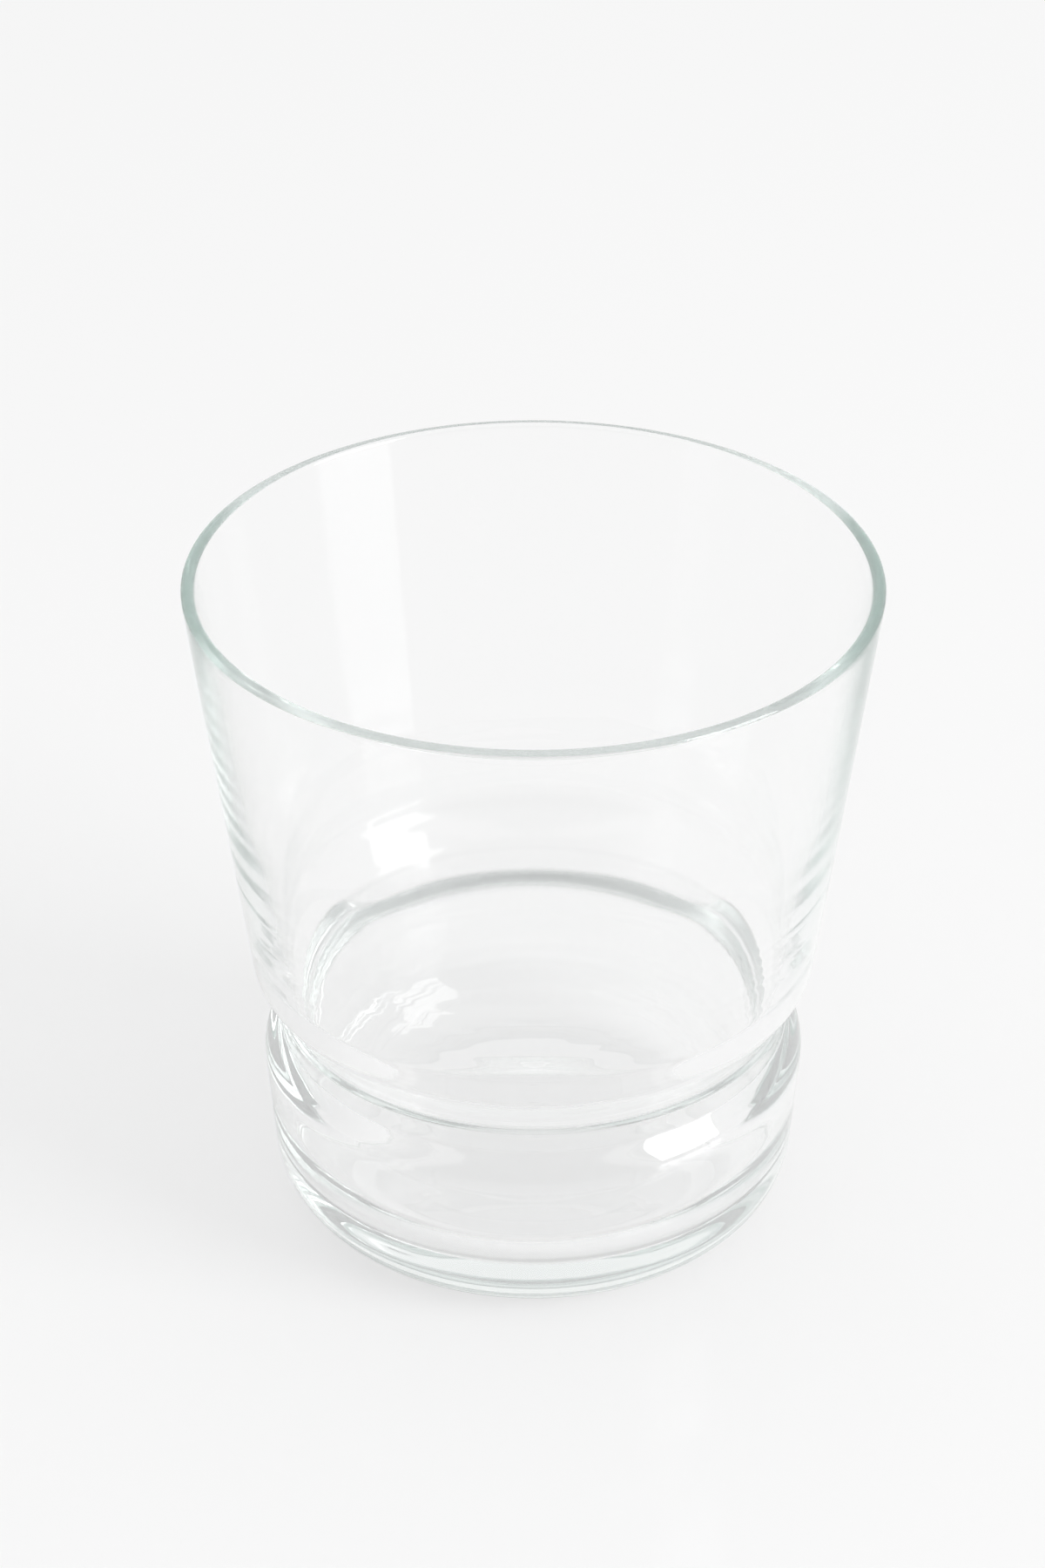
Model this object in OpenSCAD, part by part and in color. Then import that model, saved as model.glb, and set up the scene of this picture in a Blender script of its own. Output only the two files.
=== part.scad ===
// Juice glass: one piece of pressed and blown soda-lime glass.
// A flared bowl stands on a barrel foot, with a crease all round between them.
// The glass is drawn as the zones that its mould and its finishing make.
// Origin: centre of the table plane under the foot, +Z up, millimetres.

/* [Bowl] */
// Height of the whole glass
glass_h = 81; // [70:0.5:100]
// Outer diameter at the corner of the rim, before rounding
rim_d = 78; // [74:0.5:92]
// Wall thickness at the rim
rim_wall = 1.5; // [1.4:0.1:3]
// Wall thickness half way down the bowl
bowl_mid_wall = 1.9; // [1.6:0.1:3]
// Rounding of the slow bend there in the inside of the bowl
bowl_mid_round = 200; // [50:10:300]
// Rounding of the fire-polished rim
rim_round = 0.62; // [0.3:0.02:0.64]
// Height of the fire-polished band at the rim
rim_band = 3; // [2:0.5:8]

/* [Foot] */
// Outer diameter at the top of the foot, before rounding
foot_d = 63.2; // [62:0.2:66]
// Height of the top of the foot
foot_h = 21; // [19:0.1:26]
// Rounding at the top of the foot
foot_round = 5; // [2:0.2:7]
// Wall thickness at the top of the foot
foot_wall = 4.4; // [3:0.1:5.5]
// Depth of the widest place inside the foot below its top
cavity_drop = 2.5; // [0.5:0.1:4]
// Rounding of the widest place inside the foot
cavity_round = 5.8; // [2:0.2:8]

/* [Crease and shoulder] */
// Outer diameter at the bottom of the crease
crease_d = 59; // [57:0.5:61]
// Height from the top of the foot to the lower edge of the crease's bottom
crease_rise = 2.9; // [2.5:0.1:6]
// Height of the crease's flat bottom
crease_w = 3.5; // [1.5:0.1:5]
// Rounding of the edges of the crease's bottom
crease_round = 0.7; // [0.2:0.1:1]
// Outer diameter of the shoulder corner, before rounding
shoulder_d = 65; // [64:0.5:70]
// Height of the shoulder corner above the crease
shoulder_rise = 4.8; // [4:0.2:9]
// Rounding of the shoulder
shoulder_round = 3.9; // [1:0.1:4.4]
// Height above the shoulder corner at which the moulded waist ends
waist_margin = 4; // [3:0.5:10]

/* [Inside of the crease] */
// Wall from the shoulder corner in to the foot of the bowl's inner cone
bowl_foot_wall = 2.3; // [1.8:0.1:4]
// Height of the foot of the inner cone above the shoulder corner
bowl_foot_rise = 2.8; // [1:0.1:5]
// Rounding at the foot of the inner cone
bowl_foot_round = 6; // [1:0.5:9]
// Wall from the crease in to the tip of the soft ridge inside it
ridge_wall = 2.6; // [2.4:0.1:4.5]
// Height of the ridge tip above the crease's lower edge
ridge_rise = 1.2; // [0:0.1:2.5]
// Rounding of the ridge tip
ridge_round = 1.5; // [0.5:0.1:3]

/* [Heel and base] */
// Outer diameter of the heel corner on the table plane, before rounding
heel_d = 59.8; // [57:0.2:62]
// Rounding of the heel
heel_round = 8.6; // [4:0.2:9]
// Height of the heel zone
heel_band = 9; // [8:0.5:12]
// Wall thickness of the foot at the floor inside
heel_wall = 3; // [2:0.1:5]
// Rounding between the floor inside and the foot
floor_round = 8.8; // [4:0.2:10]
// Thickness from the table plane to the floor inside
floor_h = 5; // [3.5:0.1:8]
// Inner diameter of the flat ring that the glass stands on
stand_d = 37; // [30:0.5:40]
// Width of the slope from the ring up to the raised underside
rise_slope = 5; // [2:0.5:8]
// Rise of the underside above the table
rise_h = 0.8; // [0.3:0.1:1.5]
// Rounding where the slope meets the raised underside
rise_round = 12; // [2:1:20]

/* [Quality] */
// Steps in each rounding of the outline
round_steps = 8; // [4:1:16]

/* [Hidden] */
// Facets of a full turn in the preview
$fn = 128;
// Clear soda-lime glass with a faint green
glass_tint = [0.80, 0.88, 0.86, 0.45];

rim_r = rim_d / 2;
foot_r = foot_d / 2;
crease_r = crease_d / 2;
shoulder_r = shoulder_d / 2;
heel_r = heel_d / 2;
stand_r = stand_d / 2;
cavity_h = foot_h - cavity_drop;
crease_h = foot_h + crease_rise;
crease_top = crease_h + crease_w;
shoulder_h = crease_top + shoulder_rise;
waist_top = shoulder_h + waist_margin;
rim_foot = glass_h - rim_band;
bowl_mid_r = (shoulder_r + rim_r) / 2;
bowl_mid_h = (shoulder_h + glass_h) / 2;

// Corners of the outside, from the table up: radius, height, rounding
outer_corners = [
    [heel_r, 0, heel_round],
    [foot_r, foot_h, foot_round],
    [crease_r, crease_h, crease_round],
    [crease_r, crease_top, crease_round],
    [shoulder_r, shoulder_h, shoulder_round],
    [rim_r, glass_h, rim_round]
];

// Corners of the inside, from the rim down to the floor
inner_corners = [
    [rim_r - rim_wall, glass_h, rim_round],
    [bowl_mid_r - bowl_mid_wall, bowl_mid_h, bowl_mid_round],
    [shoulder_r - bowl_foot_wall, shoulder_h + bowl_foot_rise, bowl_foot_round],
    [crease_r - ridge_wall, crease_h + ridge_rise, ridge_round],
    [foot_r - foot_wall, cavity_h, cavity_round],
    [heel_r - heel_wall, floor_h, floor_round]
];

// Corners of the underside, from the axis out to the standing ring
under_corners = [
    [0, rise_h, 0],
    [stand_r - rise_slope, rise_h, rise_round],
    [stand_r, 0, 0]
];

// The half section of the whole glass, all the way round
section_corners = concat(under_corners, outer_corners, inner_corners, [[0, floor_h, 0]]);

function place(corner) = [corner[0], corner[1]];
function unit(v) = v / norm(v);
function angle_of(v) = atan2(v.y, v.x);
// The shorter way round from one direction to another, in degrees
function turn_between(from, to) = (to - from + 540) % 360 - 180;

// Points of the arc that rounds the corner b between a and c
function corner_arc(a, b, c, rounding) =
    let (
        to_a = unit(a - b),
        to_c = unit(c - b),
        half = acos(to_a * to_c) / 2,
        reach = rounding / tan(half),
        centre = b + unit(to_a + to_c) * rounding / sin(half),
        from = angle_of(b + to_a * reach - centre),
        turn = turn_between(from, angle_of(b + to_c * reach - centre))
    )
    [for (k = [0 : round_steps])
        let (at = from + turn * k / round_steps)
        centre + rounding * [cos(at), sin(at)]];

// An open outline with each of its corners rounded
function rounded(corners) =
    [for (i = [0 : len(corners) - 1])
        each (corners[i][2] == 0
            ? [place(corners[i])]
            : corner_arc(place(corners[i - 1]), place(corners[i]), place(corners[i + 1]), corners[i][2]))];

module half_section() {
    polygon(rounded(section_corners));
}

// The glass between two heights and two radii
module zone(low, high, inside, outside) {
    color(glass_tint)
        rotate_extrude()
            intersection() {
                half_section();
                translate([inside, low])
                    square([outside - inside, high - low]);
            }
}

// Fire-polished lip
module rim() {
    zone(rim_foot, glass_h, 0, rim_r);
}

// Flared wall, thicker towards the shoulder
module bowl() {
    zone(waist_top, rim_foot, 0, rim_r);
}

// Shoulder, crease and the soft ridge inside it
module waist() {
    zone(foot_h, waist_top, 0, rim_r);
}

// Barrel side of the foot
module foot() {
    zone(heel_band, foot_h, 0, foot_r);
}

// Rounded heel with the flat ring that the glass stands on
module heel() {
    zone(0, heel_band, stand_r, foot_r);
}

// Round floor of the glass, raised under its middle
module base() {
    zone(0, heel_band, 0, stand_r);
}

rim();
bowl();
waist();
foot();
heel();
base();
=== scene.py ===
"""A clear juice glass on a pale table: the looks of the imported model."""
import math

import bmesh
import bpy
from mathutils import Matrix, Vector


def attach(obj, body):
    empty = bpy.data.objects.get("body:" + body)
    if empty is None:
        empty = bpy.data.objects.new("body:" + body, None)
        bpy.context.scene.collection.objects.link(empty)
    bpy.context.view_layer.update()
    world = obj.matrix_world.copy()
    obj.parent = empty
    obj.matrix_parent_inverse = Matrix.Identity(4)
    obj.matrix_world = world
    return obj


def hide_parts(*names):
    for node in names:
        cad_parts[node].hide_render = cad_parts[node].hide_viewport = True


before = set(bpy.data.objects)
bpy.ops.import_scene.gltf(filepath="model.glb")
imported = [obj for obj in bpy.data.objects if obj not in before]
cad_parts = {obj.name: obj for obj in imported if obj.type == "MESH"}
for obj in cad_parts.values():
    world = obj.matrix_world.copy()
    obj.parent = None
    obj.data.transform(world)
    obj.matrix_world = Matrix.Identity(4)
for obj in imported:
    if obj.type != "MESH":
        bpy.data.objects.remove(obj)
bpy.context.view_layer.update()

MM = 0.001

# The glass, in millimetres: diameters and heights of corners before rounding, walls and roundings
RIM_D = 78.0
GLASS_H = 81.0
RIM_WALL = 1.5
RIM_ROUND = 0.62
SHOULDER_D = 65.0
SHOULDER_H = 32.2
SHOULDER_ROUND = 3.9
CREASE_D = 59.0
CREASE_LOW = 23.9
CREASE_TOP = 27.4
CREASE_ROUND = 0.7
FOOT_D = 63.2
FOOT_H = 21.0
FOOT_ROUND = 5.0
HEEL_D = 59.8
HEEL_ROUND = 8.6
STAND_D = 37.0
RISE_SLOPE = 5.0
RISE_H = 0.8
RISE_ROUND = 12.0
FLOOR_H = 5.0
FLOOR_ROUND = 8.8
HEEL_WALL = 3.0
FOOT_WALL = 4.4
CAVITY_DROP = 2.5
CAVITY_ROUND = 5.8
RIDGE_WALL = 2.6
RIDGE_RISE = 1.2
RIDGE_ROUND = 1.5
BOWL_FOOT_WALL = 2.3
BOWL_FOOT_RISE = 2.8
BOWL_FOOT_ROUND = 6.0
BOWL_MID_WALL = 1.9
BOWL_MID_ROUND = 200.0
# Centre mark that the mould leaves under the floor
PIP_R = 1.1
PIP_DEPTH = 0.12
# Longest straight step and largest turn between two rings, and the fewest steps in a rounding
RING_STEP = 0.85
RING_TURN = math.radians(9)
ARC_STEPS = 3
# Parts of a full turn, and the distance within which points on the axis become one
SEGMENTS = 192
MERGE_WITHIN = 0.002
# Slow waves of a blown wall: depth, length, stretch up the wall and place in the noise
WAVE_DEPTH = 0.035
WAVE_LENGTH = 26.0
WAVE_STRETCH = 0.45
WAVE_SEED = 7.0
# Radius at which the waves have their full depth; they fade from there to the axis
WAVE_FULL_R = RIM_D / 4


def corner_arc(before, corner, after, rounding):
    """Points of the arc that rounds a corner between its two neighbours."""
    b = Vector(corner)
    to_a = (Vector(before) - b).normalized()
    to_c = (Vector(after) - b).normalized()
    half = to_a.angle(to_c) / 2
    reach = rounding / math.tan(half)
    centre = b + (to_a + to_c).normalized() * rounding / math.sin(half)
    start = b + to_a * reach - centre
    end = b + to_c * reach - centre
    first = math.atan2(start.y, start.x)
    turn = (math.atan2(end.y, end.x) - first + math.pi) % (2 * math.pi) - math.pi
    steps = max(ARC_STEPS, math.ceil(abs(turn) / RING_TURN), math.ceil(rounding * abs(turn) / RING_STEP))
    angles = [first + turn * k / steps for k in range(steps + 1)]
    return [centre + rounding * Vector((math.cos(angle), math.sin(angle))) for angle in angles]


def section_corners():
    """Radius, height and rounding of each corner of the half section, from under the floor to above it."""
    rim_r, shoulder_r, crease_r, foot_r = RIM_D / 2, SHOULDER_D / 2, CREASE_D / 2, FOOT_D / 2
    heel_r, stand_r = HEEL_D / 2, STAND_D / 2
    mid_r, mid_h = (shoulder_r + rim_r) / 2, (SHOULDER_H + GLASS_H) / 2
    return [
        (0, RISE_H - PIP_DEPTH, 0),
        (PIP_R / 2, RISE_H - PIP_DEPTH, PIP_R / 2),
        (PIP_R, RISE_H, PIP_R / 2),
        (stand_r - RISE_SLOPE, RISE_H, RISE_ROUND),
        (stand_r, 0, 0),
        (heel_r, 0, HEEL_ROUND),
        (foot_r, FOOT_H, FOOT_ROUND),
        (crease_r, CREASE_LOW, CREASE_ROUND),
        (crease_r, CREASE_TOP, CREASE_ROUND),
        (shoulder_r, SHOULDER_H, SHOULDER_ROUND),
        (rim_r, GLASS_H, RIM_ROUND),
        (rim_r - RIM_WALL, GLASS_H, RIM_ROUND),
        (mid_r - BOWL_MID_WALL, mid_h, BOWL_MID_ROUND),
        (shoulder_r - BOWL_FOOT_WALL, SHOULDER_H + BOWL_FOOT_RISE, BOWL_FOOT_ROUND),
        (crease_r - RIDGE_WALL, CREASE_LOW + RIDGE_RISE, RIDGE_ROUND),
        (foot_r - FOOT_WALL, FOOT_H - CAVITY_DROP, CAVITY_ROUND),
        (heel_r - HEEL_WALL, FLOOR_H, FLOOR_ROUND),
        (0, FLOOR_H, 0),
    ]


def outline():
    """The rounded half section, with long straight stretches cut into even rings."""
    corners = section_corners()
    points = []
    for i, (r, z, rounding) in enumerate(corners):
        if rounding == 0:
            points.append(Vector((r, z)))
        else:
            points += corner_arc(corners[i - 1][:2], (r, z), corners[i + 1][:2], rounding)
    rings = [points[0]]
    for point in points[1:]:
        last = rings[-1]
        steps = math.ceil((point - last).length / RING_STEP)
        rings += [last.lerp(point, k / steps) for k in range(1, steps + 1)]
    return rings


def mesh_object(name, vertices, edges, faces):
    mesh = bpy.data.meshes.new(name)
    mesh.from_pydata(vertices, edges, faces)
    obj = bpy.data.objects.new(name, mesh)
    bpy.context.scene.collection.objects.link(obj)
    return obj


class Tree:
    """Adds nodes to a node tree: any node from its type, its settings and its sockets' values or links."""

    def __init__(self, tree):
        self.tree = tree

    def node(self, kind, settings=None, **sockets):
        node = self.tree.nodes.new(kind)
        for key, value in (settings or {}).items():
            setattr(node, key, value)
        for key, value in sockets.items():
            numbered = key[0] == "i" and key[1:].isdigit()
            self.feed(node.inputs[int(key[1:]) if numbered else key.replace("_", " ")], value)
        return node

    def feed(self, socket, value):
        if isinstance(value, Value):
            value = value.socket
        if isinstance(value, bpy.types.NodeSocket):
            self.tree.links.new(value, socket)
        else:
            socket.default_value = value

    def value(self, kind, settings=None, out=0, **sockets):
        return Value(self, self.node(kind, settings, **sockets).outputs[out])

    def fade(self, value, low, high, at_low, at_high):
        """A soft step between two values while the given value goes from low to high."""
        return self.value("ShaderNodeMapRange", {"interpolation_type": "SMOOTHSTEP"}, Value=value,
                          From_Min=low, From_Max=high, To_Min=at_low, To_Max=at_high)


class Value:
    """A socket that adds Math nodes when it is used in an expression."""

    def __init__(self, tree, socket):
        self.tree, self.socket = tree, socket

    def math(self, operation, other=0.0):
        return self.tree.value("ShaderNodeMath", {"operation": operation}, i0=self, i1=other)

    def __add__(self, other):
        return self.math("ADD", other)

    def __sub__(self, other):
        return self.math("SUBTRACT", other)

    def __rsub__(self, other):
        return self.tree.value("ShaderNodeMath", {"operation": "SUBTRACT"}, i0=other, i1=self)

    def __mul__(self, other):
        return self.math("MULTIPLY", other)

    def __truediv__(self, other):
        return self.math("DIVIDE", other)


def used(sockets):
    """The one of a node's sockets called Value that its data type uses."""
    return next(socket for socket in sockets if socket.name == "Value" and socket.enabled)


def new_material(name):
    material = bpy.data.materials.new(name)
    material.use_nodes = True
    material.node_tree.nodes.clear()
    return material, Tree(material.node_tree)


# Clear glass

GLASS_IOR = 1.52
# Colour that the glass takes on with depth, and how strongly for each metre
GLASS_TINT = (0.48, 0.67, 0.61, 1.0)
GLASS_DENSITY = 2.7
# Fine flat ripples: how many a metre round the wall, how much closer up it, and depth in millimetres
RIPPLE_SCALE = 40.0
RIPPLE_FLATNESS = 10.0
RIPPLE_DEPTH = 0.018
# Heights in millimetres between which the ripples fade out below the fire-polished rim
RIPPLE_FADE_H = 44.0
RIPPLE_TOP_H = 58.0
# Faint roughness in patches all over: how rough, how many patches a metre, and how ragged they are
SMEAR_ROUGHNESS = 0.012
SMEAR_SCALE = 35.0
SMEAR_DETAIL = 4.0
# Roughness of the upper wall, which softens the light that it guides, and heights over which it sets in
UPPER_ROUGHNESS = 0.037
HAZE_LOW_H = 40.0
HAZE_FULL_H = 52.0


def glass_material():
    material, tree = new_material("soda_lime_glass")
    place = tree.value("ShaderNodeTexCoord", out="Object")
    rings = tree.value("ShaderNodeMapping", Vector=place, Scale=(1.0, 1.0, RIPPLE_FLATNESS))
    drift = tree.value("ShaderNodeTexNoise", Vector=rings, Scale=RIPPLE_SCALE, Detail=1.0)
    smear = tree.value("ShaderNodeTexNoise", Vector=place, Scale=SMEAR_SCALE, Detail=SMEAR_DETAIL)
    up = tree.value("ShaderNodeSeparateXYZ", out="Z", Vector=place)
    below_rim = tree.fade(up, RIPPLE_FADE_H * MM, RIPPLE_TOP_H * MM, 1.0, 0.0)
    bump = tree.value("ShaderNodeBump", Strength=1.0, Distance=RIPPLE_DEPTH * MM, Height=drift * below_rim)
    haze = tree.fade(up, HAZE_LOW_H * MM, HAZE_FULL_H * MM, 0.0, UPPER_ROUGHNESS)
    shader = tree.value("ShaderNodeBsdfPrincipled", Base_Color=(1, 1, 1, 1), IOR=GLASS_IOR,
                        Roughness=smear * SMEAR_ROUGHNESS + haze, Transmission_Weight=1.0, Normal=bump)
    absorption = tree.value("ShaderNodeVolumeAbsorption", Color=GLASS_TINT, Density=GLASS_DENSITY)
    tree.node("ShaderNodeOutputMaterial", Surface=shader, Volume=absorption)
    return material


# The glass as a turned body

TURN_INPUTS = (
    ("Segments", "NodeSocketInt", SEGMENTS),
    ("Wave Depth", "NodeSocketFloat", WAVE_DEPTH * MM),
    ("Wave Length", "NodeSocketFloat", WAVE_LENGTH * MM),
    ("Wave Stretch", "NodeSocketFloat", WAVE_STRETCH),
)


def turning_group(material):
    """Geometry nodes that turn an outline of points (radius, 0, height) into a closed body with slow waves.

    Also gives the values that a modifier sets for its inputs.
    """
    group = bpy.data.node_groups.new("turned_glass", "GeometryNodeTree")
    face = group.interface
    face.new_socket("Outline", in_out="INPUT", socket_type="NodeSocketGeometry")
    settings = {}
    for name, kind, value in TURN_INPUTS:
        socket = face.new_socket(name, in_out="INPUT", socket_type=kind)
        socket.default_value = value
        settings[socket.identifier] = value
    face.new_socket("Glass", in_out="OUTPUT", socket_type="NodeSocketGeometry")
    tree = Tree(group)
    given = tree.node("NodeGroupInput").outputs
    segments, depth, length, stretch = (Value(tree, given[name]) for name, kind, value in TURN_INPUTS)

    # A flat grid: its rows are the points of the outline, and its columns go round
    rings = tree.value("GeometryNodeAttributeDomainSize", out="Point Count", Geometry=given["Outline"])
    grid = tree.value("GeometryNodeMeshGrid", Size_X=1.0, Size_Y=1.0, Vertices_X=rings,
                      Vertices_Y=segments + 1)
    position = tree.value("GeometryNodeInputPosition")
    at = tree.node("ShaderNodeSeparateXYZ", Vector=position).outputs
    row = (Value(tree, at["X"]) + 0.5) * (rings - 1) + 0.5
    angle = (Value(tree, at["Y"]) + 0.5) * (2 * math.pi)
    cosine, sine = angle.math("COSINE"), angle.math("SINE")
    point = tree.node("GeometryNodeSampleIndex", {"data_type": "FLOAT_VECTOR", "domain": "POINT"},
                      Geometry=given["Outline"], Index=row.math("FLOOR"))
    tree.feed(used(point.inputs), position)
    sampled = tree.node("ShaderNodeSeparateXYZ", Vector=used(point.outputs)).outputs
    radius, height = Value(tree, sampled["X"]), Value(tree, sampled["Z"])

    # Waves that only take glass away, so that the body stays inside its sizes
    spot = tree.value("ShaderNodeCombineXYZ", X=radius * cosine / length, Y=radius * sine / length,
                      Z=height * stretch / length)
    noise = tree.value("ShaderNodeTexNoise", {"noise_dimensions": "4D"}, Vector=spot, W=WAVE_SEED,
                       Scale=1.0, Detail=1.0)
    grown = (radius / (WAVE_FULL_R * MM)).math("MINIMUM", 1.0)
    waved = radius - noise * depth * grown

    spun = tree.value("ShaderNodeCombineXYZ", X=waved * cosine, Y=waved * sine, Z=height)
    moved = tree.value("GeometryNodeSetPosition", Geometry=grid, Position=spun)
    merged = tree.value("GeometryNodeMergeByDistance", Geometry=moved, Distance=MERGE_WITHIN * MM)
    smooth = tree.value("GeometryNodeSetShadeSmooth", Geometry=merged)
    finished = tree.value("GeometryNodeSetMaterial", Geometry=smooth, Material=material)
    tree.node("NodeGroupOutput", Glass=finished)
    return group, settings


def turned_glass():
    """The whole glass as one closed mesh, turned from its outline."""
    points = [(p.x * MM, 0, p.y * MM) for p in outline()]
    edges = [(i, i + 1) for i in range(len(points) - 1)]
    profile = mesh_object("glass_outline", points, edges, [])
    modifier = profile.modifiers.new("turn", "NODES")
    modifier.node_group, settings = turning_group(glass_material())
    for identifier, value in settings.items():
        modifier[identifier] = value
    shape = profile.evaluated_get(bpy.context.evaluated_depsgraph_get())
    mesh = bpy.data.meshes.new_from_object(shape)
    mesh.name = "juice_glass"
    bpy.data.objects.remove(profile)
    body = bmesh.new()
    body.from_mesh(mesh)
    bmesh.ops.recalc_face_normals(body, faces=body.faces)
    body.to_mesh(mesh)
    body.free()
    glass = bpy.data.objects.new("juice_glass", mesh)
    bpy.context.scene.collection.objects.link(glass)
    return glass


glass = turned_glass()
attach(glass, "root")
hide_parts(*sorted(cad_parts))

# Table and surroundings

TABLE_SIZE = 6.0
TABLE_COLOUR = (0.90, 0.90, 0.90, 1.0)
TABLE_GLOSS = 0.02
TABLE_IOR = 1.45
# White of the background, and how much of the table is this plain white: seen directly, and seen through
# the glass. The rest of the table is lit, and takes the shadow.
SEEN_WHITE = 0.925
SEEN_PLAIN = 0.64
THROUGH_GLASS = 0.74
# Light that falls on the table, and how bright the room looks: most of it, and behind the camera
TABLE_LIGHT = 0.83
FAR_WHITE = 0.95
NEAR_GREY = 0.22
# Cosines of the angles from the camera's side at which the room starts to turn grey and is wholly grey
GREY_EDGE = 0.45
GREY_CORE = 0.90


def table_material():
    material, tree = new_material("pale_table")
    ray = tree.node("ShaderNodeLightPath").outputs
    lit = tree.value("ShaderNodeBsdfPrincipled", Base_Color=TABLE_COLOUR, Roughness=TABLE_GLOSS,
                     IOR=TABLE_IOR)
    plain = tree.value("ShaderNodeEmission", Color=(SEEN_WHITE, SEEN_WHITE, SEEN_WHITE, 1), Strength=1.0)
    through, seen = Value(tree, ray["Is Transmission Ray"]), Value(tree, ray["Is Camera Ray"])
    part = through * THROUGH_GLASS + seen * SEEN_PLAIN
    both = tree.value("ShaderNodeMixShader", i0=part, i1=lit, i2=plain)
    tree.node("ShaderNodeOutputMaterial", Surface=both)
    return material


def table():
    half = TABLE_SIZE / 2
    corners = [(-half, -half, 0), (half, -half, 0), (half, half, 0), (-half, half, 0)]
    top = mesh_object("table", corners, [], [(0, 1, 2, 3)])
    top.data.materials.append(table_material())


def room():
    """Even light on the table; the glass shows a pale studio with a greyer room behind the camera."""
    world = bpy.data.worlds.new("room")
    bpy.context.scene.world = world
    world.use_nodes = True
    world.node_tree.nodes.clear()
    tree = Tree(world.node_tree)
    ray = tree.node("ShaderNodeLightPath").outputs
    lights = Value(tree, ray["Diffuse Depth"]).math("MINIMUM", 1.0)
    seen = Value(tree, ray["Is Camera Ray"])
    way = tree.value("ShaderNodeTexCoord", out="Generated")
    to_camera_side = tree.value("ShaderNodeSeparateXYZ", out="Y", Vector=way) * -1.0
    around = tree.fade(to_camera_side, GREY_EDGE, GREY_CORE, FAR_WHITE, NEAR_GREY)
    shown = seen * SEEN_WHITE + (1.0 - seen) * around
    strength = lights * TABLE_LIGHT + (1.0 - lights) * shown
    light = tree.value("ShaderNodeBackground", Color=(1, 1, 1, 1), Strength=strength)
    tree.node("ShaderNodeOutputWorld", Surface=light)


# The window: its direction, from the camera's side towards +X and up, its height, and the height it faces
WINDOW_AZIMUTH = math.radians(64)
WINDOW_ELEVATION = math.radians(21)
WINDOW_HEIGHT = 0.85
WINDOW_AIM_H = 0.04
# Its two lamps: distance and width in metres, strength, and whether the lamp shows only through the glass,
# or only outside and in reflections. The first kind is weaker, as a real wall scatters the light it guides.
LAMPS = (
    ("window", 1.30, 0.66, 8.0, False),
    ("window_through", 1.25, 0.64, 3.2, True),
)


def window():
    level = math.cos(WINDOW_ELEVATION)
    direction = Vector((math.sin(WINDOW_AZIMUTH) * level, -math.cos(WINDOW_AZIMUTH) * level,
                        math.sin(WINDOW_ELEVATION)))
    aim = Vector((0, 0, WINDOW_AIM_H))
    for name, distance, width, strength, through in LAMPS:
        data = bpy.data.lights.new(name, "AREA")
        data.shape = "RECTANGLE"
        data.size, data.size_y = width, WINDOW_HEIGHT
        data.energy = strength * width * WINDOW_HEIGHT * math.pi
        lamp = bpy.data.objects.new(name, data)
        bpy.context.scene.collection.objects.link(lamp)
        lamp.location = aim + distance * direction
        lamp.rotation_euler = (aim - lamp.location).to_track_quat("-Z", "Y").to_euler()
        lamp.visible_transmission = through
        lamp.visible_diffuse = lamp.visible_glossy = not through


table()
room()
window()

# Camera, fitted to the photo's size and focal length in pixels and to the column of the glass's axis

PHOTO_W = 1200.0
PHOTO_H = 1800.0
FOCAL_PX = 5000.0
AXIS_X_PX = 612.5
CAMERA_PITCH = math.radians(31.08)
CAMERA_DISTANCE = 0.4944
CAMERA_AIM_H = 0.05408
CAMERA_NEAR = 0.01
SENSOR_H = 36.0
# Enough for the light that the wall guides round; fewer turn the rim grey
BOUNCES = 128

camera_data = bpy.data.cameras.new("camera")
camera_data.sensor_fit = "VERTICAL"
camera_data.sensor_height = SENSOR_H
camera_data.lens = FOCAL_PX / PHOTO_H * SENSOR_H
camera_data.shift_x = (PHOTO_W / 2 - AXIS_X_PX) / PHOTO_H
camera_data.clip_start = CAMERA_NEAR
camera = bpy.data.objects.new("camera", camera_data)
camera.location = (0, -CAMERA_DISTANCE * math.cos(CAMERA_PITCH),
                   CAMERA_AIM_H + CAMERA_DISTANCE * math.sin(CAMERA_PITCH))
camera.rotation_euler = (math.pi / 2 - CAMERA_PITCH, 0, 0)

scene = bpy.context.scene
scene.collection.objects.link(camera)
scene.camera = camera
scene.view_settings.view_transform = "Standard"
scene.cycles.max_bounces = BOUNCES
scene.cycles.glossy_bounces = BOUNCES
scene.cycles.transmission_bounces = BOUNCES
scene.cycles.use_denoising = True
